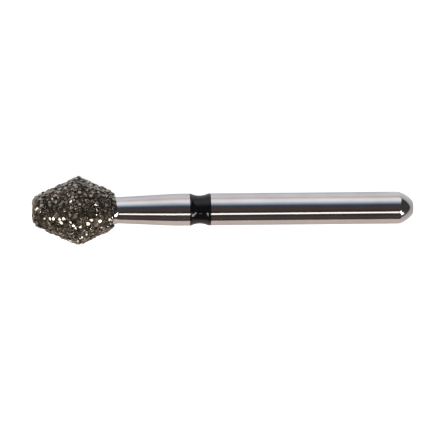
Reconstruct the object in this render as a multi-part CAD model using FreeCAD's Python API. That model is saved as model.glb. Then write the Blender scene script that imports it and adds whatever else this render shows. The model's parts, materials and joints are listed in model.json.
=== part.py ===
"""Super-coarse double-cone diamond bur with a 1.6 mm friction-grip shank.

Built along +X from the tip of the head, then laid down on its head and shank end.
"""
import FreeCAD
import Part
import math
import os
import random

os.makedirs("parts", exist_ok=True)

V = FreeCAD.Vector
ORIGIN = V(0, 0, 0)
X_AXIS = V(1, 0, 0)

# Overall size and shank, in millimetres. The shank is the standard 1.6 mm friction-grip one.
overall_length = 19.0
shank_d = 1.60
nose_length = 0.68
nose_flat_d = 0.64
nose_bulge = 0.055

# Head, measured over the tops of the crystals. Its shoulder steps down to the neck.
head_d = 3.53
head_length = 4.10
tip_d = 1.40
front_length = 2.294
shoulder_step = 0.306

# Neck, which widens from the back of the head to the shank.
neck_root_d = 1.294
neck_taper = 2.95
neck_blend_r = 11.0

# Coloured grit band: a lacquered ring with a shallow round groove.
band_start = 7.85
band_width = 1.045
band_front_land = 0.075
band_groove_width = 0.85
band_groove_depth = 0.10
lacquer_thickness = 0.03

# Electroplated diamond coating. Its nickel has narrow flats, which stay within 0.01 mm of the round.
crystal_size_least = 0.21
crystal_size_most = 0.286
crystal_stand_out = 0.085
crystal_stand_out_least = 0.06
crystal_pitch = 0.285
crystal_scatter = 0.057
crystal_seed = 7
bond_thickness = 0.12
bond_below_crystal = 0.015
bond_edge_chamfer = 0.07
bond_lip_length = 0.15
bond_flats = 30

shank_r = shank_d / 2
tip_r = tip_d / 2
head_r = head_d / 2
shoulder_r = neck_root_d / 2 + shoulder_step
front = math.atan2(head_r - tip_r, front_length)
back = math.atan2(head_r - shoulder_r, head_length - front_length)
core_depth = crystal_stand_out + bond_thickness


def at(x, r):
    return V(x, 0, r)


def meet(p, p_angle, q, q_angle):
    """Point where the line through p at p_angle meets the line through q at q_angle."""
    p_slope = math.tan(p_angle)
    q_slope = math.tan(q_angle)
    x = (q.z - p.z + p_slope * p.x - q_slope * q.x) / (p_slope - q_slope)
    return at(x, p.z + p_slope * (x - p.x))


def head_tip(depth):
    """Corner of the flat tip and the front cone, this far below the crystal tops."""
    return at(depth, tip_r + depth * math.tan(front) - depth / math.cos(front))


def head_ridge(depth):
    """Widest point of the head, this far below the crystal tops."""
    front_point = at(front_length, head_r - depth / math.cos(front))
    back_point = at(front_length, head_r - depth / math.cos(back))
    return meet(front_point, front, back_point, -back)


def head_back(depth, x):
    """Point of the back cone at x, this far below the crystal tops."""
    return at(x, shoulder_r - depth / math.cos(back) + (head_length - x) * math.tan(back))


def rounded_corner(start, corner, end, radius):
    """Edges from start to end with an arc of this radius at the corner between them."""
    to_start = (start - corner).normalize()
    to_end = (end - corner).normalize()
    half = to_start.getAngle(to_end) / 2
    reach = radius / math.tan(half)
    inward = (to_start + to_end).normalize()
    first = corner + to_start * reach
    last = corner + to_end * reach
    middle = corner + inward * (radius / math.sin(half) - radius)
    return [Part.makeLine(start, first), Part.Arc(first, middle, last).toShape(), Part.makeLine(last, end)]


def turned(edges):
    """Solid of revolution about the bur's axis."""
    return Part.Face(Part.Wire(edges)).revolve(ORIGIN, X_AXIS, 360)


def band_surface(depth):
    """Land, groove and land of the grit band, this far below its outer surface."""
    r = shank_r - depth
    half = band_groove_width / 2
    groove_r = (half ** 2 + band_groove_depth ** 2) / (2 * band_groove_depth) + depth
    centre = at(band_start + band_front_land + half, shank_r - band_groove_depth - depth + groove_r)
    reach = math.sqrt(groove_r ** 2 - (centre.z - r) ** 2)
    start = at(band_start, r)
    first = at(centre.x - reach, r)
    last = at(centre.x + reach, r)
    end = at(band_start + band_width, r)
    return [
        Part.makeLine(start, first),
        Part.Arc(first, centre - at(0, groove_r), last).toShape(),
        Part.makeLine(last, end),
    ]


def make_blank():
    """Steel blank in one piece: head core, neck, shank and rounded nose."""
    core_tip = head_tip(core_depth)
    root = meet(head_back(core_depth, head_length), -back, at(head_length, neck_root_d / 2), math.radians(neck_taper))
    neck_top = meet(root, math.radians(neck_taper), at(band_start, shank_r), 0)
    head_core = [at(core_tip.x, 0), core_tip, head_ridge(core_depth), root]
    front_part = [Part.makeLine(a, b) for a, b in zip(head_core, head_core[1:])]
    front_part += rounded_corner(root, neck_top, at(band_start, shank_r), neck_blend_r)
    band_end = band_start + band_width
    nose_x = overall_length - nose_length
    nose_end = at(overall_length, nose_flat_d / 2)
    nose_start = at(nose_x, shank_r)
    chord = nose_end - nose_start
    bulge = V(-chord.z, 0, chord.x).normalize() * nose_bulge
    back_part = [
        Part.makeLine(at(band_end, shank_r - lacquer_thickness), at(band_end, shank_r)),
        Part.makeLine(at(band_end, shank_r), nose_start),
        Part.Arc(nose_start, (nose_start + nose_end) / 2 + bulge, nose_end).toShape(),
        Part.makeLine(nose_end, at(overall_length, 0)),
        Part.makeLine(at(overall_length, 0), at(core_tip.x, 0)),
    ]
    step = Part.makeLine(at(band_start, shank_r), at(band_start, shank_r - lacquer_thickness))
    return turned(front_part + [step] + band_surface(lacquer_thickness) + back_part)


def make_colour_band():
    """Lacquer that fills the shallow recess of the blank, flush with the shank."""
    band_end = band_start + band_width
    inner_r = shank_r - lacquer_thickness
    back_end = Part.makeLine(at(band_end, shank_r), at(band_end, inner_r))
    front_end = Part.makeLine(at(band_start, inner_r), at(band_start, shank_r))
    inner = band_surface(lacquer_thickness)
    return turned(band_surface(0) + [back_end] + inner[::-1] + [front_end])


def bond_outline():
    """Corners of the nickel's outer surface, from the tip to the lip on the neck."""
    tip = head_tip(crystal_stand_out)
    ridge = head_ridge(crystal_stand_out)
    shoulder = head_back(crystal_stand_out, head_length - bond_edge_chamfer)
    cut = bond_edge_chamfer
    return [
        at(tip.x, 0),
        at(tip.x, tip.z - cut),
        tip + at(math.cos(front), math.sin(front)) * cut,
        ridge - at(math.cos(front), math.sin(front)) * cut,
        ridge + at(math.cos(back), -math.sin(back)) * cut,
        shoulder,
        at(head_length, shoulder.z - cut),
        at(head_length + bond_lip_length, neck_root_d / 2 - cut),
    ]


def make_bond():
    """Nickel over the whole head, still with the steel in its place; its lip ends inside the neck."""
    step = 360 / bond_flats
    rings = [
        [FreeCAD.Rotation(X_AXIS, step * i).multVec(corner) for i in range(bond_flats + 1)]
        for corner in bond_outline()[1:]
    ]
    faces = [Part.Face(Part.makePolygon(ring)) for ring in (rings[0], rings[-1])]
    for low, high in zip(rings, rings[1:]):
        for i in range(bond_flats):
            faces.append(Part.Face(Part.makePolygon([low[i], low[i + 1], high[i + 1], high[i], low[i]])))
    solid = Part.Solid(Part.Shell(faces))
    if solid.Volume < 0:
        solid.reverse()
    return solid


def crystal(rng, foot, outward):
    """Irregular eight-sided diamond crystal, lying any way round, seated at foot on the nickel."""
    first = V(rng.gauss(0, 1), rng.gauss(0, 1), rng.gauss(0, 1)).normalize()
    second = first.cross(V(rng.gauss(0, 1), rng.gauss(0, 1), rng.gauss(0, 1))).normalize()
    arms = [
        axis * (sign * rng.uniform(crystal_size_least, crystal_size_most) / 2)
        for axis in (first, second, first.cross(second)) for sign in (1, -1)
    ]
    rise = rng.uniform(crystal_stand_out_least, crystal_stand_out) - max(arm.dot(outward) for arm in arms)
    points = []
    for arm in arms:
        lift = max(0, bond_below_crystal - bond_thickness - arm.dot(outward) - rise)
        points.append(foot + arm + outward * (rise + lift))
    faces = [
        Part.Face(Part.makePolygon([points[a], points[b], points[c], points[a]]))
        for a in (0, 1) for b in (2, 3) for c in (4, 5)
    ]
    solid = Part.Solid(Part.Shell(faces))
    if solid.Volume < 0:
        solid.reverse()
    return solid


def make_crystals():
    """Rings of crystals over every part of the nickel's surface."""
    rng = random.Random(crystal_seed)
    outline = bond_outline()
    stretches = [
        (outline[0], outline[2], V(-1, 0, 0)),
        (outline[2], outline[3], V(-math.sin(front), 0, math.cos(front))),
        (outline[3], outline[4], V(0, 0, 1)),
        (outline[4], outline[5], V(math.sin(back), 0, math.cos(back))),
        (outline[5], outline[6], V(1, 0, 1).normalize()),
    ]
    crystals = []
    for start, end, normal in stretches:
        rings = max(1, round((end - start).Length / crystal_pitch))
        for ring in range(rings):
            middle = start + (end - start) * ((ring + 0.5) / rings)
            count = max(1, round(2 * math.pi * middle.z / crystal_pitch))
            phase = rng.uniform(0, 360)
            for i in range(count):
                place = middle + (end - start).normalize() * rng.uniform(-crystal_scatter, crystal_scatter)
                sideways = math.degrees(rng.uniform(-crystal_scatter, crystal_scatter) / middle.z)
                turn = FreeCAD.Rotation(X_AXIS, phase + 360 * i / count + sideways)
                crystals.append(crystal(rng, turn.multVec(place), turn.multVec(normal)))
    return crystals


def lean_at(corners, roll):
    """Lean of the axis when the bur, rolled this far, lies on its lowest crystal and its shank end."""
    down = V(0, -math.sin(math.radians(roll)), -math.cos(math.radians(roll)))
    nose_x = overall_length - nose_length
    return max(math.degrees(math.atan2(corner.dot(down) - shank_r, nose_x - corner.x)) for corner in corners)


def resting_roll(corners):
    """Roll at which the axis leans least: there two crystals carry the head, so it doesn't roll on."""
    roll = 0
    for step, count in ((1, 180), (0.05, 20), (0.002, 25)):
        tries = [roll + step * i for i in range(-count, count + 1)]
        roll = min(tries, key=lambda turn: lean_at(corners, turn))
    return roll


blank = make_blank()
crystals = make_crystals()
coating = make_bond().fuse(crystals).cut(blank)
nodes = {
    "blank": blank,
    "diamond_coating": coating,
    "colour_band": make_colour_band(),
}

corners = [vertex.Point for solid in crystals for vertex in solid.Vertexes]
corners = [corner for corner in corners if math.hypot(corner.y, corner.z) > head_r - bond_thickness]
roll = resting_roll(corners)
lean = lean_at(corners, roll)
laid = FreeCAD.Rotation(V(0, 1, 0), lean).multiply(FreeCAD.Rotation(X_AXIS, roll))
laid = FreeCAD.Placement(ORIGIN, laid).toMatrix()
box = Part.makeCompound([shape.transformed(laid) for shape in nodes.values()]).BoundBox
for name, shape in nodes.items():
    shape = shape.transformed(laid)
    shape.translate(V(-box.Center.x, 0, -box.ZMin))
    shape.exportStep("parts/" + name + ".step")
    print(name, len(shape.Solids), shape.isValid(), round(shape.Volume, 4), len(shape.Faces))
print("crystals", len(crystals), "roll", round(roll, 3), "lean", round(lean, 3), box)
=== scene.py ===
"""A super-coarse double-cone diamond bur, lying on a pale surface and seen from straight above."""
import bpy
import itertools
import json
import math
import random

import numpy as np
from mathutils import Matrix, Vector, noise


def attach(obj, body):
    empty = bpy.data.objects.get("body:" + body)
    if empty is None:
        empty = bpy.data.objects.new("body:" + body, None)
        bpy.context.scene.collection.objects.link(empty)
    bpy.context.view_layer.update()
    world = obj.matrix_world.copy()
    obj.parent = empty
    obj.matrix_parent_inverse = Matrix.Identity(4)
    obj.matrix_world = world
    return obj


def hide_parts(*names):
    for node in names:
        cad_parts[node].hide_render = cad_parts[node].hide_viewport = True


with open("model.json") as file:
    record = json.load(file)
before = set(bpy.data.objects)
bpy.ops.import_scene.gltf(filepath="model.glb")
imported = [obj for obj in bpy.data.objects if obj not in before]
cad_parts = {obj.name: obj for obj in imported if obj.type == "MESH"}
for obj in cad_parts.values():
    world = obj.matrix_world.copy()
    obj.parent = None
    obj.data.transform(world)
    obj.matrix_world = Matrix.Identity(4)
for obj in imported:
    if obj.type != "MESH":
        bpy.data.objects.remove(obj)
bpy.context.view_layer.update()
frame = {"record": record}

MM = 0.001

# Sizes in millimetres, as in the CAD model.
OVERALL_LENGTH = 19.0
SHANK_R = 0.80
NOSE_LENGTH = 0.68
NOSE_FLAT_R = 0.32
NOSE_BULGE = 0.055
NOSE_EDGE_R = 0.28
NOSE_RIM_R = 0.20
HEAD_R = 1.765
HEAD_LENGTH = 4.10
TIP_R = 0.70
FRONT_LENGTH = 2.294
NECK_ROOT_R = 0.647
SHOULDER_STEP = 0.306
SHOULDER_R = NECK_ROOT_R + SHOULDER_STEP
FRONT = math.atan2(HEAD_R - TIP_R, FRONT_LENGTH)
BACK = math.atan2(HEAD_R - SHOULDER_R, HEAD_LENGTH - FRONT_LENGTH)
NECK_TAPER = math.radians(2.95)
NECK_FLARE_R = 0.38
NECK_BLEND_R = 11.0
BAND_START = 7.85
BAND_WIDTH = 1.045
BAND_FRONT_LAND = 0.075
BAND_GROOVE_WIDTH = 0.85
BAND_GROOVE_DEPTH = 0.10
LACQUER = 0.03
STAND_OUT = 0.085
NICKEL = 0.12
TIP_DOME = 0.02
TIP_EDGE_CUT = 0.12
RIDGE_CUT = 0.03
EDGE_CUT = 0.07
BACK_SET_IN = 0.06
LIP_LENGTH = 0.19
LIP_THICKNESS = 0.02
CORE_DEPTH = STAND_OUT + NICKEL
BACK_END = HEAD_LENGTH - BACK_SET_IN

# Turned meshes have this many points in a turn, and extra points this close to a corner.
TURN_POINTS = 256
CORNER_GAP = 0.012

# The crystals: how many shapes, how they vary, how far apart they sit and how high they stand.
CRYSTAL_SEED = 20
CRYSTAL_TRIES = 26000
CRYSTAL_SHAPES = 40
CRYSTAL_SPACING = 0.17
CRYSTAL_SIZES = (0.165, 0.265)
CRYSTAL_STRETCH = (0.8, 1.2)
OCTAHEDRON_REACH = (0.40, 0.50)
CUBE_REACH = (0.40, 0.62)
BROAD_FACETS = 4
TILTS = (0.04, 0.06, 0.10, 0.28)
RISES = (0.2, 1.1)

# Three facet planes meet in a corner unless they are nearly parallel; these are the tolerances.
NEARLY_PARALLEL = 0.05
INSIDE_SLACK = 1e-6
ON_FACET = 1e-5
SAME_CORNER = 1e-4

# A crystal's facets are dark or clear, and the edges of some crystals have a bright rim.
DARK, CLEAR, RIM = 0, 1, 2
CLEAR_SHARE = 0.5
RIMMED_SHARE = 0.6
RIM_WIDTHS = (0.05, 0.10)
TONE_SPREAD = (1.8, 2.6)
VEIN_TONE = 0.25

# The nickel skin: its grid, the collar that it forms round each crystal, and its nodules, coarse
# and fine, each with a height and a number of waves a millimetre.
SKIN_ROWS = 168
SKIN_COLUMNS = 340
SKIN_SINK = 0.02
EDGE_ROUNDING = 0.035
COLLAR_HEIGHT = 0.035
COLLAR_R = 0.06
COLLAR_WIDTH = 0.04
NODULES = ((0.012, 9), (0.006, 24))

# The lip runs onto the neck on one side, with a ragged end that is thin and bare of crystals.
LIP_TURN = 0.35
LIP_STEEPNESS = 4
LIP_SLANT = 0.35
LIP_WAVES = 3.1
LIP_RAGGEDNESS = 0.15
LIP_LEAST = 0.02
LIP_GRIT = 0.5
LIP_BARE = 0.3
LIP_THIN_FROM = 0.5
LIP_FLATNESS = 0.2

# The bur's own axes in the row frame: along the shank, to the side, and up.
shank = frame["record"]["mounts"][0]
AXIS = Vector(shank["axis"]).normalized()
SIDE = Vector((0, 1, 0))
UP = AXIS.cross(SIDE)
SHANK_MIDDLE = (BAND_START + BAND_WIDTH + OVERALL_LENGTH - NOSE_LENGTH) / 2
TIP = Vector(shank["pos_m"]) - AXIS * (SHANK_MIDDLE * MM)
BASIS = np.array([AXIS, SIDE, UP]) * MM

# Straight up from the floor, in the bur's own axes.
UPWARD = np.array((AXIS.z, SIDE.z, UP.z))


def to_row(points):
    """Points given along the axis, to the side and up, in millimetres, as row-frame metres."""
    return np.asarray(points, float) @ BASIS + np.array(TIP)


def add_piece(name, points, faces, material, slot, node, smooth_angle=0):
    """Piece that stands for this CAD node; edges sharper than smooth_angle stay sharp."""
    mesh = bpy.data.meshes.new(name)
    mesh.from_pydata(to_row(points).tolist(), [], faces)
    mesh.materials.append(material)
    if smooth_angle:
        mesh.shade_smooth()
        mesh.set_sharp_from_angle(angle=math.radians(smooth_angle))
    piece = bpy.data.objects.new(name, mesh)
    bpy.context.collection.objects.link(piece)
    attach(piece, "root")
    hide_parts(node)
    return piece


# Turned profiles, as points of x along the axis and radius r.

def meet(p, p_angle, q, q_angle):
    """Point where the line through p at p_angle meets the line through q at q_angle."""
    a, b = math.tan(p_angle), math.tan(q_angle)
    x = (q[1] - p[1] + a * p[0] - b * q[0]) / (a - b)
    return (x, p[1] + a * (x - p[0]))


def head_tip(depth):
    """Edge of the tip, this far below the crystals' tops."""
    return (depth, TIP_R + depth * math.tan(FRONT) - depth / math.cos(FRONT))


def head_ridge(depth):
    """Ridge between the two cones, this far below the crystals' tops."""
    front = (FRONT_LENGTH, HEAD_R - depth / math.cos(FRONT))
    back = (FRONT_LENGTH, HEAD_R - depth / math.cos(BACK))
    return meet(front, FRONT, back, -BACK)


def head_back(depth, x):
    """Point of the back cone at x, this far below the crystals' tops."""
    return (x, SHOULDER_R - depth / math.cos(BACK) + (HEAD_LENGTH - x) * math.tan(BACK))


def corner_arc(start, corner, end, radius, steps):
    """Points of the arc that rounds a corner of a profile."""
    p, c, q = Vector(start), Vector(corner), Vector(end)
    u, v = (p - c).normalized(), (q - c).normalized()
    half = u.angle(v) / 2
    inward = (u + v).normalized()
    centre = c + inward * (radius / math.sin(half))
    first, last = c + u * (radius / math.tan(half)), c + v * (radius / math.tan(half))
    a, b = first - centre, last - centre
    turn = a.angle_signed(b)
    return [tuple(centre + Matrix.Rotation(-turn * i / steps, 2) @ a) for i in range(steps + 1)]


def arc_through(start, middle, end, steps):
    """Points of the circular arc from start to end through middle."""
    (ax, ay), (bx, by), (cx, cy) = start, middle, end
    d = 2 * (ax * (by - cy) + bx * (cy - ay) + cx * (ay - by))
    a2, b2, c2 = ax * ax + ay * ay, bx * bx + by * by, cx * cx + cy * cy
    ux = (a2 * (by - cy) + b2 * (cy - ay) + c2 * (ay - by)) / d
    uy = (a2 * (cx - bx) + b2 * (ax - cx) + c2 * (bx - ax)) / d
    t0, t1 = math.atan2(ay - uy, ax - ux), math.atan2(cy - uy, cx - ux)
    turn = (t1 - t0 + math.pi) % (2 * math.pi) - math.pi
    r = math.hypot(ax - ux, ay - uy)
    angles = [t0 + turn * i / steps for i in range(steps + 1)]
    return [(ux + r * math.cos(t), uy + r * math.sin(t)) for t in angles]


def filled(points, step):
    """The same profile with extra points on stretches of over four steps and close to their ends."""
    out = [points[0]]
    for p, q in zip(points, points[1:]):
        p, q = Vector(p), Vector(q)
        length = (q - p).length
        if length > 4 * step:
            count = math.ceil(length / step)
            gap = CORNER_GAP / length
            shares = [gap] + [i / count for i in range(1, count)] + [1 - gap]
            out += [tuple(p.lerp(q, s)) for s in shares]
        out.append(tuple(q))
    return out


def lathe(profile):
    """Points and faces of a profile turned about the axis; a radius of zero is one point."""
    points, rows, faces = [], [], []
    turns = [2 * math.pi * i / TURN_POINTS for i in range(TURN_POINTS)]
    for x, r in profile:
        start = len(points)
        if r == 0:
            points.append((x, 0, 0))
            rows.append([start] * TURN_POINTS)
        else:
            points += [(x, r * math.sin(t), r * math.cos(t)) for t in turns]
            rows.append(list(range(start, start + TURN_POINTS)))
    for a, b in zip(rows, rows[1:]):
        for i in range(TURN_POINTS):
            j = (i + 1) % TURN_POINTS
            face = [a[i], b[i], b[j], a[j]]
            faces.append([v for n, v in enumerate(face) if v not in face[:n]])
    return points, faces


def band_surface(depth, steps):
    """Land, groove and land of the grit band, this far below its outer surface."""
    r = SHANK_R - depth
    half = BAND_GROOVE_WIDTH / 2
    groove_r = (half ** 2 + BAND_GROOVE_DEPTH ** 2) / (2 * BAND_GROOVE_DEPTH) + depth
    cx = BAND_START + BAND_FRONT_LAND + half
    cr = SHANK_R - BAND_GROOVE_DEPTH - depth + groove_r
    reach = math.sqrt(groove_r ** 2 - (cr - r) ** 2)
    arc = arc_through((cx - reach, r), (cx, cr - groove_r), (cx + reach, r), steps)
    return [(BAND_START, r)] + arc + [(BAND_START + BAND_WIDTH, r)]


# Materials.

def new_material(name, **sockets):
    """Material with a Principled shader, and these values on its sockets."""
    material = bpy.data.materials.new(name)
    material.use_nodes = True
    shader = material.node_tree.nodes["Principled BSDF"]
    for socket, value in sockets.items():
        shader.inputs[socket.replace("_", " ")].default_value = value
    return material, material.node_tree, shader


def link(tree, shader, **sockets):
    """Joins these outputs to the shader's sockets."""
    for socket, output in sockets.items():
        tree.links.new(output, shader.inputs[socket.replace("_", " ")])


def add_node(tree, kind, sockets=(), **settings):
    """Node of this kind; a socket's value is a number, a colour or another node's output."""
    made = tree.nodes.new(kind)
    for key, value in settings.items():
        setattr(made, key, value)
    for key, value in dict(sockets).items():
        if isinstance(value, bpy.types.NodeSocket):
            tree.links.new(value, made.inputs[key])
        else:
            made.inputs[key].default_value = value
    return made


def math_node(tree, operation, *values):
    """Result of this operation on numbers or other nodes' outputs."""
    return add_node(tree, "ShaderNodeMath", dict(enumerate(values)), operation=operation).outputs[0]


def ranged(tree, value, first, last, low=0.0, high=1.0):
    """The value spread so that first gives low and last gives high."""
    return add_node(tree, "ShaderNodeMapRange", {
        "Value": value, "From Min": first, "From Max": last, "To Min": low, "To Max": high}).outputs[0]


def bumped(tree, height, strength, distance):
    """Direction of a surface that this height raises by this distance in metres."""
    return add_node(tree, "ShaderNodeBump", {
        "Height": height, "Strength": strength, "Distance": distance}).outputs[0]


def ramp_node(tree, factor, stops):
    """Colour ramp through (position, colour) stops."""
    made = add_node(tree, "ShaderNodeValToRGB", {"Fac": factor})
    ramp = made.color_ramp
    while len(ramp.elements) < len(stops):
        ramp.elements.new(1.0)
    for element, (position, colour) in zip(ramp.elements, stops):
        element.position = position
        element.color = (*colour, 1)
    return made.outputs["Color"]


def grain_node(tree, scale, detail, roughness=0.5):
    """Noise that follows the bur, with so many grains a metre along the axis, to the side and up."""
    place = add_node(tree, "ShaderNodeTexCoord").outputs["Object"]
    lean = -math.atan2(-AXIS.z, AXIS.x)
    turned = add_node(tree, "ShaderNodeMapping", {"Vector": place, "Rotation": (0, lean, 0)})
    scaled = add_node(tree, "ShaderNodeMapping", {"Vector": turned.outputs[0], "Scale": scale})
    return add_node(tree, "ShaderNodeTexNoise", {
        "Vector": scaled.outputs[0], "Scale": 1.0, "Detail": detail, "Roughness": roughness}).outputs["Fac"]


def steel_material():
    """Ground and polished stainless steel, with fine marks round the shank and faint smears."""
    material, tree, shader = new_material("polished_steel", Metallic=1.0)
    marks = grain_node(tree, (14000, 700, 700), detail=3.0, roughness=0.6)
    smears = grain_node(tree, (700, 1500, 1500), detail=4.0, roughness=0.55)
    colour = ramp_node(tree, smears, [
        (0.30, (0.53, 0.505, 0.485)), (0.55, (0.575, 0.555, 0.54)), (0.75, (0.60, 0.585, 0.575))])
    link(
        tree, shader,
        Base_Color=colour,
        Roughness=ranged(tree, smears, 0.3, 0.75, low=0.085, high=0.14),
        Normal=bumped(tree, marks, strength=0.35, distance=6e-7))
    return material


def lacquer_material():
    """Glossy black lacquer with a slightly uneven flow."""
    material, tree, shader = new_material(
        "black_lacquer", IOR=1.39, Roughness=0.1, Specular_IOR_Level=0.4)
    flow = grain_node(tree, (4200, 2600, 2600), detail=2.0)
    colour = ramp_node(tree, flow, [(0.35, (0.004, 0.0042, 0.0046)), (0.7, (0.008, 0.008, 0.0085))])
    link(tree, shader, Base_Color=colour, Normal=bumped(tree, flow, strength=0.4, distance=4e-6))
    return material


def nickel_material():
    """Dull plated nickel; its colour follows its bumps and is darker and browner in their hollows, a
    painted shade.
    """
    material, tree, shader = new_material("plated_nickel", Metallic=0.85)
    grain = grain_node(tree, (9000, 9000, 9000), detail=5.0, roughness=0.65)
    # Painted shade: the same grain that raises the bumps darkens the colour in their hollows.
    colour = ramp_node(tree, grain, [
        (0.32, (0.025, 0.017, 0.011)), (0.52, (0.058, 0.043, 0.029)), (0.72, (0.135, 0.107, 0.075))])
    link(
        tree, shader,
        Base_Color=colour,
        Roughness=ranged(tree, grain, 0.3, 0.7, low=0.5, high=0.3),
        Normal=bumped(tree, grain, strength=0.6, distance=8e-6))
    return material


def diamond_material(name, shine, stops):
    """Diamond facets of this shine; the colours run by each crystal's own tone."""
    material, tree, shader = new_material(
        name, IOR=2.42, Specular_IOR_Level=shine, Specular_Tint=(1, 0.905, 0.75, 1))
    tone = add_node(tree, "ShaderNodeAttribute", attribute_name="tone").outputs["Fac"]
    veins = grain_node(tree, (16000, 16000, 16000), detail=3.0)
    veined = math_node(tree, "MULTIPLY_ADD", veins, VEIN_TONE, tone)
    veined = math_node(tree, "SUBTRACT", veined, VEIN_TONE / 2)
    link(
        tree, shader,
        Base_Color=ramp_node(tree, veined, stops),
        Roughness=ranged(tree, veins, 0.3, 0.7, low=0.03, high=0.12))
    return material


def rim_material():
    """Bright nickel where it thins out over the edges of a crystal."""
    material, tree, shader = new_material("nickel_rims", Metallic=1.0)
    grain = grain_node(tree, (12000, 12000, 12000), detail=3.0)
    colour = ramp_node(tree, grain, [
        (0.35, (0.50, 0.425, 0.325)), (0.5, (0.80, 0.70, 0.56)), (0.65, (0.94, 0.865, 0.74))])
    link(tree, shader, Base_Color=colour, Roughness=ranged(tree, grain, 0.35, 0.65, low=0.3, high=0.12))
    return material


# The steel blank and its grit band.

def steel_profile():
    """Head core, neck, groove of the band, shank and nose; the nose is a dome with rounded edges."""
    core_tip, core_ridge = head_tip(CORE_DEPTH), head_ridge(CORE_DEPTH)
    root = meet(head_back(CORE_DEPTH, HEAD_LENGTH), -BACK, (HEAD_LENGTH, NECK_ROOT_R), NECK_TAPER)
    neck_top = meet(root, NECK_TAPER, (BAND_START, SHANK_R), 0)
    nose_start = (OVERALL_LENGTH - NOSE_LENGTH, SHANK_R)
    nose_end = (OVERALL_LENGTH, NOSE_FLAT_R)
    chord = Vector(nose_end) - Vector(nose_start)
    bulge = Vector((-chord.y, chord.x)).normalized() * NOSE_BULGE
    middle = Vector(nose_start) + chord / 2 + bulge
    dome = arc_through(nose_start, tuple(middle), nose_end, steps=24)[3:-5]
    profile = [(core_tip[0], 0), core_tip, core_ridge]
    profile += corner_arc(core_ridge, root, neck_top, NECK_FLARE_R, steps=8)
    profile += corner_arc(root, neck_top, (BAND_START, SHANK_R), NECK_BLEND_R, steps=24)
    profile += [(BAND_START, SHANK_R)] + band_surface(LACQUER, steps=16)
    profile += [(BAND_START + BAND_WIDTH, SHANK_R)]
    profile += corner_arc(profile[-1], nose_start, dome[0], NOSE_EDGE_R, steps=6) + dome
    profile += corner_arc(dome[-1], nose_end, (OVERALL_LENGTH, 0), NOSE_RIM_R, steps=6)
    return filled(profile + [(OVERALL_LENGTH, 0)], step=0.15)


def lacquer_profile():
    """Closed section of the lacquer, which lines the groove and ends flush with the shank."""
    outer = filled(band_surface(0, steps=28), step=0.05)
    inner = band_surface(LACQUER, steps=16)
    return [inner[0]] + outer + inner[::-1]


add_piece(
    "steel_blank", *lathe(steel_profile()), steel_material(), "polished_steel", "blank",
    smooth_angle=25)
add_piece(
    "grit_band", *lathe(lacquer_profile()), lacquer_material(), "black_lacquer", "colour_band",
    smooth_angle=40)


# The diamond coating: crystals set in nickel that climbs round each of them.

def nickel_outline():
    """The coating's profile from the tip over the ridge and the shoulder to the end of the lip."""
    tip, ridge = head_tip(STAND_OUT), head_ridge(STAND_OUT)
    shoulder = head_back(STAND_OUT, BACK_END - EDGE_CUT)
    front = (math.cos(FRONT), math.sin(FRONT))
    back = (math.cos(BACK), -math.sin(BACK))
    return [
        (tip[0], 0),
        (tip[0] + TIP_DOME, tip[1] - TIP_EDGE_CUT),
        (tip[0] + TIP_EDGE_CUT * front[0], tip[1] + TIP_EDGE_CUT * front[1]),
        (ridge[0] - RIDGE_CUT * front[0], ridge[1] - RIDGE_CUT * front[1]),
        (ridge[0] + RIDGE_CUT * back[0], ridge[1] + RIDGE_CUT * back[1]),
        shoulder,
        (BACK_END, shoulder[1] - EDGE_CUT),
        (BACK_END + LIP_LENGTH, NECK_ROOT_R + LIP_THICKNESS),
    ]


class Outline:
    """The nickel's outline by distance along it, with its outward direction."""

    def __init__(self, points):
        self.points = [Vector(p) for p in points]
        self.lengths = [(q - p).length for p, q in zip(self.points, self.points[1:])]
        self.total = sum(self.lengths)

    def at(self, s):
        """Point and outward direction at this distance from the tip."""
        for p, q, length in zip(self.points, self.points[1:], self.lengths):
            if s <= length or q is self.points[-1]:
                d = (q - p) / length
                return p + d * min(s, length), Vector((-d.y, d.x))
            s -= length

    def smooth_at(self, s):
        """The same, averaged over a short stretch, so that its edges are rounded."""
        near = [self.at(min(max(s + k * EDGE_ROUNDING, 0), self.total)) for k in range(-2, 3)]
        point = sum((p for p, _ in near), Vector((0, 0))) / len(near)
        outward = sum((n for _, n in near), Vector((0, 0))).normalized()
        return point, outward


def around(point, turn):
    """A profile point or direction turned about the axis by this angle."""
    return Vector((point.x, point.y * math.sin(turn), point.y * math.cos(turn)))


def facet_planes(rng):
    """Outward directions of a crystal's facets, and how far each lies from its middle."""
    normals = [Vector(n).normalized() for n in itertools.product((-1, 1), repeat=3)]
    reach = [rng.uniform(*OCTAHEDRON_REACH) for _ in normals]
    for axis in range(3):
        for sign in (-1, 1):
            normal = Vector((0, 0, 0))
            normal[axis] = sign
            normals.append(normal)
            reach.append(rng.uniform(*CUBE_REACH))
    return np.array(normals), np.array(reach)


def crystal_shape(rng):
    """Corners and faces of a convex crystal between an octahedron and a cube, about 1 across."""
    normals, reach = facet_planes(rng)
    corners = []
    for three in itertools.combinations(range(len(normals)), 3):
        planes = normals[list(three)]
        if abs(np.linalg.det(planes)) < NEARLY_PARALLEL:
            continue
        p = np.linalg.solve(planes, reach[list(three)])
        inside = (normals @ p <= reach + INSIDE_SLACK).all()
        if inside and all(np.abs(p - c).max() > SAME_CORNER for c in corners):
            corners.append(p)
    corners = np.array(corners)
    faces = []
    for normal, distance in zip(normals, reach):
        on = [int(i) for i in np.nonzero(np.abs(corners @ normal - distance) < ON_FACET)[0]]
        if len(on) > 2:
            faces.append(sorted_round(corners, on, normal))
    return corners, faces


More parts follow.
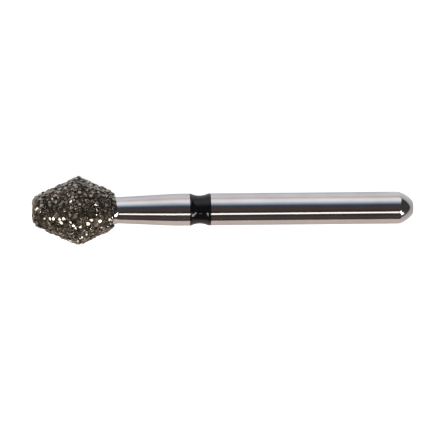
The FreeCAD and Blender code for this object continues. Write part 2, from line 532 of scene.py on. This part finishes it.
def chamfered(corners, sides, share):
    """The crystal with a narrow facet along each edge and at each corner, and how many are broad."""
    points, place, edges = [], {}, {}
    for f, side in enumerate(sides):
        centre = corners[side].mean(axis=0)
        for a, b in zip(side, side[1:] + side[:1]):
            place[f, a] = len(points)
            points.append(corners[a] + (centre - corners[a]) * share)
            edges.setdefault(frozenset((a, b)), []).append((f, a, b))
    made = [[place[f, a] for a in side] for f, side in enumerate(sides)]
    for (f, a, b), (g, _, _) in edges.values():
        made.append([place[f, b], place[f, a], place[g, a], place[g, b]])
    points = np.array(points)
    for a, corner in enumerate(corners):
        ring = [place[f, a] for f, side in enumerate(sides) if a in side]
        made.append(sorted_round(points, ring, corner))
    return points, made, len(sides)


def sorted_round(points, ring, outward):
    """These points in anticlockwise order, seen against the outward direction."""
    centre = points[ring].mean(axis=0)
    u = np.cross(outward, points[ring[0]] - centre)
    v = np.cross(outward / np.linalg.norm(outward), u)
    return sorted(ring, key=lambda i: math.atan2((points[i] - centre) @ v, (points[i] - centre) @ u))


def laid_flat(rng, corners, sides, normal, tilt):
    """The crystal turned so that one of its larger facets faces outward, give or take the tilt."""
    areas = []
    for side in sides:
        ring = corners[side]
        areas.append(np.cross(ring - ring[0], np.roll(ring, -1, axis=0) - ring[0]).sum(axis=0))
    areas.sort(key=np.linalg.norm, reverse=True)
    facing = Vector(areas[rng.randrange(BROAD_FACETS)]).normalized()
    sway = Vector((rng.gauss(0, tilt), rng.gauss(0, tilt), rng.gauss(0, tilt)))
    turn = Matrix.Rotation(rng.uniform(0, 2 * math.pi), 3, normal)
    turn = turn @ facing.rotation_difference((normal + sway).normalized()).to_matrix()
    return corners @ np.array(turn).T


def lip_reach(turn):
    """How far the lip runs onto the neck at this turn, as a share of its greatest length."""
    wave = noise.noise(Vector((math.sin(turn), math.cos(turn), 0)) * LIP_WAVES)
    one_side = 0.5 + 0.5 * math.tanh(LIP_STEEPNESS * math.sin(turn + LIP_TURN))
    slanted = 1 - LIP_SLANT + LIP_SLANT * math.cos(turn)
    return max(LIP_LEAST, one_side * slanted + LIP_RAGGEDNESS * wave)


def reached(x, reach):
    """Place along the axis of a point of the outline, with the lip cut short to this share."""
    return x if x < BACK_END else BACK_END + (x - BACK_END) * reach


def crystal_places(rng, outline, apart):
    """Points spread at random over the coating, none closer together than this."""
    lip = outline.lengths[-1]
    shoulder = outline.total - lip
    places = []
    taken = np.zeros((0, 3))
    for _ in range(CRYSTAL_TRIES):
        s = rng.uniform(0, outline.total)
        turn = rng.uniform(0, 2 * math.pi)
        reach = lip_reach(turn)
        p, n = outline.smooth_at(s)
        if rng.uniform(0, HEAD_R) > p.y or s > shoulder + lip * LIP_GRIT * (reach - LIP_BARE):
            continue
        place = around(Vector((reached(p.x, reach), p.y)), turn)
        if (((taken - place) ** 2).sum(axis=1) < apart ** 2).any():
            continue
        taken = np.vstack([taken, place])
        places.append((place, around(n, turn)))
    return places


def set_crystal(rng, shape, place, normal):
    """Corners of a crystal at its own size, turn and height, and no lower than the floor."""
    corners, sides, broad = shape
    size = rng.uniform(*CRYSTAL_SIZES)
    corners = corners @ np.diag([size * rng.uniform(*CRYSTAL_STRETCH) for _ in range(3)])
    corners = laid_flat(rng, corners, sides[:broad], normal, rng.choice(TILTS))
    heights = corners @ np.array(normal)
    rise = STAND_OUT * rng.uniform(*RISES) - heights.max()
    corners = corners + np.array(place) + np.array(normal) * rise
    return corners + UPWARD * max(0, -to_row(corners)[:, 2].min() / MM)


def make_crystals(rng, places):
    """All crystals as one piece; each has its own tone, and its facets are dark, clear or rims."""
    shapes = [chamfered(*crystal_shape(rng), rng.uniform(*RIM_WIDTHS)) for _ in range(CRYSTAL_SHAPES)]
    points, faces, tones, kinds = [], [], [], []
    for place, normal in places:
        shape = shapes[rng.randrange(len(shapes))]
        _, sides, broad = shape
        start = len(points)
        points += set_crystal(rng, shape, place, normal).tolist()
        faces += [[start + i for i in side] for side in sides]
        tones += [rng.betavariate(*TONE_SPREAD)] * len(sides)
        facet = CLEAR if rng.random() < CLEAR_SHARE else DARK
        rim = RIM if rng.random() < RIMMED_SHARE else facet
        kinds += [facet] * broad + [rim] * (len(sides) - broad)
    dark = diamond_material("dark_diamond", 0.25, [
        (0.0, (0.008, 0.006, 0.004)), (0.5, (0.020, 0.015, 0.011)), (1.0, (0.055, 0.046, 0.034))])
    clear = diamond_material("clear_diamond", 0.75, [
        (0.0, (0.010, 0.008, 0.005)), (0.5, (0.045, 0.036, 0.024)), (1.0, (0.36, 0.305, 0.215))])
    piece = add_piece("diamond_crystals", points, faces, dark, "diamond_in_nickel", "diamond_coating")
    piece.data.materials.append(clear)
    piece.data.materials.append(rim_material())
    piece.data.polygons.foreach_set("material_index", kinds)
    piece.data.attributes.new("tone", "FLOAT", "FACE").data.foreach_set("value", tones)


def skin_grid(outline):
    """Points and outward directions of the nickel skin, in rows from the tip to the neck."""
    points, normals = [], []
    for row in range(SKIN_ROWS + 1):
        p, n = outline.smooth_at(outline.total * row / SKIN_ROWS)
        for i in range(SKIN_COLUMNS):
            turn = 2 * math.pi * (i + 0.5 * (row % 2)) / SKIN_COLUMNS
            points.append(around(Vector((reached(p.x, lip_reach(turn)), p.y)), turn))
            normals.append(around(n, turn))
    return np.array(points), np.array(normals)


def skin_faces():
    """Four-cornered faces between the rows of the skin."""
    faces = []
    for row in range(SKIN_ROWS):
        a, b = row * SKIN_COLUMNS, (row + 1) * SKIN_COLUMNS
        for i in range(SKIN_COLUMNS):
            j = (i + 1) % SKIN_COLUMNS
            faces.append([a + i, b + i, b + j, a + j])
    return faces


def nearest(points, centres):
    """Distance from each point to the nearest centre, row by row to spare memory."""
    found = []
    for row in range(0, len(points), SKIN_COLUMNS):
        part = points[row:row + SKIN_COLUMNS]
        away = np.sqrt(((part[:, None, :] - centres[None]) ** 2).sum(axis=2))
        found.append(away.min(axis=1))
    return np.concatenate(found)


def skin_heights(points, centres):
    """Height of the skin: a collar round each crystal, nodules, and a thin end of the lip."""
    from_collar = (nearest(points, centres) - COLLAR_R) / COLLAR_WIDTH
    heights = COLLAR_HEIGHT * np.exp(-from_collar ** 2) - SKIN_SINK
    for i, p in enumerate(points):
        heights[i] += sum(height * noise.noise(Vector(p) * waves) for height, waves in NODULES)
    heights[points[:, 0] > BACK_END + LIP_LENGTH * LIP_THIN_FROM] *= LIP_FLATNESS
    return heights


def make_nickel(outline, places):
    """Nickel skin, raised in a collar round each crystal and nodular in between."""
    points, normals = skin_grid(outline)
    centres = np.array([place for place, _ in places])
    points = points + normals * skin_heights(points, centres)[:, None]
    add_piece(
        "nickel_bond", points.tolist(), skin_faces(), nickel_material(),
        "diamond_in_nickel", "diamond_coating", smooth_angle=60)


rng = random.Random(CRYSTAL_SEED)
outline = Outline(nickel_outline())
places = crystal_places(rng, outline, CRYSTAL_SPACING)
make_crystals(rng, places)
make_nickel(outline, places)


# Stage: a white floor, whose glow for reflected rays is a painted reflection, a pale surrounding with a
# dark space overhead, and three strip lamps.

FLOOR_HALF = 1.5
FLOOR_SHADE = (0.84, 0.84, 0.84, 1)
FLOOR_GLOW = 0.8
# The floor's glow that only reflected rays see, a painted reflection: warm on the near side, cool on the
# far side, blended over this half width, and dimmed past the nose.
NEAR_REFLECTION_GLOW = (0.30, 0.19, 0.13)
FAR_REFLECTION_GLOW = (0.37, 0.40, 0.45)
REFLECTION_GLOW_BLEND_HALF_WIDTH = 3 * MM
DIM_PAST_NOSE = 0.1
DIM_START = 9.5 * MM
DIM_END = 13 * MM

# The studio's light by degrees from overhead, from the near side (-90) to the far side (90).
STUDIO_STRENGTH = 2.0
STUDIO_LIGHT = (
    (-90, (0.20, 0.15, 0.12)), (-83, (0.075, 0.045, 0.035)), (-66, (0.10, 0.08, 0.08)),
    (-50, (0.055, 0.045, 0.06)), (-20, (0.055, 0.03, 0.02)), (-6, (0.09, 0.07, 0.065)),
    (15, (0.065, 0.07, 0.10)), (26, (0.08, 0.105, 0.15)), (38, (0.45, 0.55, 0.67)),
    (54, (1.12, 1.18, 1.28)), (66, (1.32, 1.23, 1.26)), (78, (1.08, 0.95, 0.94)),
    (90, (0.79, 0.72, 0.75)),
)

# The light ends at a slanting edge on the right, with a dim space beyond it.
EDGE_SLANT = 0.45
EDGE_START = 0.24
EDGE_END = 0.34
BEYOND_EDGE = (0.033, 0.031, 0.034, 1)

STRIP_DISTANCE = 0.6
SIDE_STRENGTH = 14.0
SIDE_COLOUR = (0.98, 0.99, 1)


def is_ray(tree, *kinds):
    """1 for these kinds of ray, else 0."""
    path = add_node(tree, "ShaderNodeLightPath")
    value = path.outputs[kinds[0]]
    for kind in kinds[1:]:
        value = math_node(tree, "MAXIMUM", value, path.outputs[kind])
    return value


def emptied(owner):
    """Node tree of a material or world, with nothing in it."""
    owner.use_nodes = True
    owner.node_tree.nodes.clear()
    return owner.node_tree


def floor_material():
    """White; for reflected rays only it also glows, a painted reflection in the bur that is warm on the
    near side, cool beyond and dim past the nose.
    """
    material = bpy.data.materials.new("white_floor")
    tree = emptied(material)
    place = add_node(tree, "ShaderNodeTexCoord").outputs["Object"]
    parts = add_node(tree, "ShaderNodeSeparateXYZ", {"Vector": place})
    # Painted reflection: a glow for reflected rays only, warm to cool across the floor and dimmed past the
    # nose.
    side = ranged(tree, parts.outputs["Y"], -REFLECTION_GLOW_BLEND_HALF_WIDTH, REFLECTION_GLOW_BLEND_HALF_WIDTH)
    reflection_glow_colour = ramp_node(tree, side, [(0.2, NEAR_REFLECTION_GLOW), (0.8, FAR_REFLECTION_GLOW)])
    mirrored = is_ray(tree, "Is Glossy Ray", "Is Transmission Ray")
    dimmed = ranged(tree, parts.outputs["X"], DIM_START, DIM_END, low=1.0, high=DIM_PAST_NOSE)
    strength = math_node(tree, "MULTIPLY", mirrored, dimmed)
    reflection_glow = add_node(tree, "ShaderNodeEmission", {"Color": reflection_glow_colour, "Strength": strength})
    shown = math_node(tree, "MULTIPLY", is_ray(tree, "Is Camera Ray"), FLOOR_GLOW)
    glow = add_node(tree, "ShaderNodeEmission", {"Strength": shown})
    diffuse = add_node(tree, "ShaderNodeBsdfDiffuse", {"Color": FLOOR_SHADE})
    both = add_node(tree, "ShaderNodeAddShader", {0: diffuse.outputs[0], 1: glow.outputs[0]})
    both = add_node(tree, "ShaderNodeAddShader", {0: both.outputs[0], 1: reflection_glow.outputs[0]})
    add_node(tree, "ShaderNodeOutputMaterial", {"Surface": both.outputs[0]})
    return material


def make_floor():
    """Square floor under the bur, far wider than the view."""
    mesh = bpy.data.meshes.new("floor")
    corners = [(-1, -1, 0), (1, -1, 0), (1, 1, 0), (-1, 1, 0)]
    mesh.from_pydata([Vector(corner) * FLOOR_HALF for corner in corners], [], [(0, 1, 2, 3)])
    mesh.materials.append(floor_material())
    floor = bpy.data.objects.new("floor", mesh)
    bpy.context.collection.objects.link(floor)


def make_world():
    """Light by direction: dark overhead, a broad pale panel on the far side, dim on the near side."""
    world = bpy.data.worlds.new("studio")
    bpy.context.scene.world = world
    tree = emptied(world)
    way = add_node(tree, "ShaderNodeTexCoord").outputs["Generated"]
    parts = add_node(tree, "ShaderNodeSeparateXYZ", {"Vector": way})
    angle = math_node(tree, "ARCTAN2", parts.outputs["Y"], parts.outputs["Z"])
    share = math_node(tree, "MULTIPLY_ADD", angle, 1 / math.pi, 0.5)
    light = ramp_node(tree, share, [
        (degrees / 180 + 0.5, [part / STUDIO_STRENGTH for part in colour])
        for degrees, colour in STUDIO_LIGHT])
    far = math_node(tree, "MAXIMUM", parts.outputs["Y"], 0.0)
    slanted = math_node(tree, "MULTIPLY_ADD", far, -EDGE_SLANT, parts.outputs["X"])
    inside = ranged(tree, slanted, EDGE_START, EDGE_END, low=1.0, high=0.0)
    bounded = add_node(tree, "ShaderNodeMix", {
        "Factor": inside, 6: BEYOND_EDGE, 7: light}, data_type="RGBA")
    studio = add_node(tree, "ShaderNodeBackground", {
        "Color": bounded.outputs[2], "Strength": STUDIO_STRENGTH})
    white = add_node(tree, "ShaderNodeBackground", {"Color": (1, 1, 1, 1), "Strength": 1.0})
    mixed = add_node(tree, "ShaderNodeMixShader", {
        "Fac": is_ray(tree, "Is Camera Ray"), 1: studio.outputs[0], 2: white.outputs[0]})
    add_node(tree, "ShaderNodeOutputWorld", {"Surface": mixed.outputs[0]})


def make_strip(name, corners, strength, colour):
    """Long thin lamp whose four corners lie in these directions from the bur."""
    material = bpy.data.materials.new(name)
    tree = emptied(material)
    glow = add_node(tree, "ShaderNodeEmission", {"Color": (*colour, 1), "Strength": strength})
    add_node(tree, "ShaderNodeOutputMaterial", {"Surface": glow.outputs[0]})
    mesh = bpy.data.meshes.new(name)
    points = [Vector(corner).normalized() * STRIP_DISTANCE for corner in corners]
    mesh.from_pydata(points, [], [(0, 1, 2, 3)])
    mesh.materials.append(material)
    lamp = bpy.data.objects.new(name, mesh)
    lamp.visible_camera = False
    lamp.visible_shadow = False
    bpy.context.collection.objects.link(lamp)


make_floor()
make_world()
make_strip(
    "front_strip",
    [(-0.10, -0.48, 0.877), (-0.10, -0.623, 0.783), (0.22, -0.623, 0.783), (0.22, -0.48, 0.877)],
    strength=2.3, colour=(1, 0.98, 0.96))
make_strip(
    "right_strip",
    [(0.445, -0.43, 0.79), (0.51, -0.36, 0.79), (0.80, -0.54, 0.27), (0.66, -0.69, 0.30)],
    strength=SIDE_STRENGTH, colour=SIDE_COLOUR)
make_strip(
    "left_strip",
    [(-0.51, -0.44, 0.74), (-0.66, -0.36, 0.66), (-0.74, -0.62, 0.28), (-0.63, -0.70, 0.34)],
    strength=SIDE_STRENGTH, colour=SIDE_COLOUR)


# Camera: straight above, with a long lens, turned half a degree as in the photograph.

LENS = 400
SENSOR = 36
VIEW_WIDTH = 21.37
VIEW_MIDDLE = 9.12
VIEW_SHIFT = 0.277
VIEW_ROLL = math.radians(-0.54)

camera_data = bpy.data.cameras.new("camera")
camera_data.lens = LENS
camera_data.sensor_width = SENSOR
camera_data.clip_start = 0.01
camera_data.clip_end = 10
camera = bpy.data.objects.new("camera", camera_data)
bpy.context.collection.objects.link(camera)
bpy.context.scene.camera = camera
middle = TIP + AXIS * (VIEW_MIDDLE * MM)
distance = VIEW_WIDTH * MM * LENS / SENSOR
frame_up = Vector((-math.sin(VIEW_ROLL), math.cos(VIEW_ROLL), 0))
camera.location = Vector((middle.x, 0, middle.z + distance)) - frame_up * (VIEW_SHIFT * MM)
camera.rotation_euler = (0, 0, VIEW_ROLL)

bpy.context.scene.view_settings.view_transform = "Standard"
